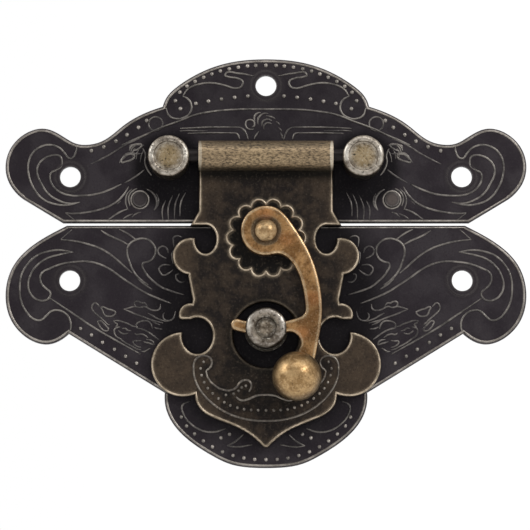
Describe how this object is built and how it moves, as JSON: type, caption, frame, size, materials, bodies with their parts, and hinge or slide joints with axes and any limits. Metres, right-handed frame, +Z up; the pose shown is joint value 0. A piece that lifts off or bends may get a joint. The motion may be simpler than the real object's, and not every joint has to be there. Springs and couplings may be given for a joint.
{
  "type": "padlock hasp",
  "caption": "Antique bronze box hasp with embossed scroll plates, hinged strap over a catch post, and a swing hook with a ball knob that locks through the post.",
  "frame": {"origin": "middle of the rectangle of the four side screw holes, on the plates' back plane", "axes": "+X to the right as seen from the front, along the hinge pin; -Y out of the front, the backs lying on Y = 0; +Z up, from the catch towards the hinge"},
  "size_m": [0.0826, 0.0116, 0.0649],
  "materials": {
    "plate_bronze": "antique bronze plating over stamped iron, near black with rubbed relief",
    "strap_bronze": "antique bronze plating, dark brown, rubbed bright at the edges",
    "post_bronze": "rubbed antique bronze, satin",
    "hook_bronze": "polished antique bronze with pale worn edges",
    "ball_bronze": "polished antique bronze",
    "pin_steel": "darkened steel wire"
  },
  "bodies": {
    "plates": {"upper_plate": "plate_bronze", "lower_plate": "plate_bronze", "left_hinge_post": "post_bronze", "right_hinge_post": "post_bronze", "hinge_pin": "pin_steel", "catch_post": "post_bronze"},
    "hasp": {"hasp_strap": "strap_bronze", "hook_rivet": "hook_bronze"},
    "hook": {"hook_arm": "hook_bronze", "ball_knob": "ball_bronze"}
  },
  "joints": [
    {"name": "hasp_lift", "type": "hinge", "parent": "plates", "child": "hasp", "pos_m": [0, -0.00365, 0.0113], "axis": [-1, 0, 0], "range_deg": [0, 135]},
    {"name": "hook_swing", "type": "hinge", "parent": "hasp", "child": "hook", "pos_m": [0, -0.00345, -0.0006], "axis": [0, -1, 0], "range_deg": [0, 85]}
  ]
}
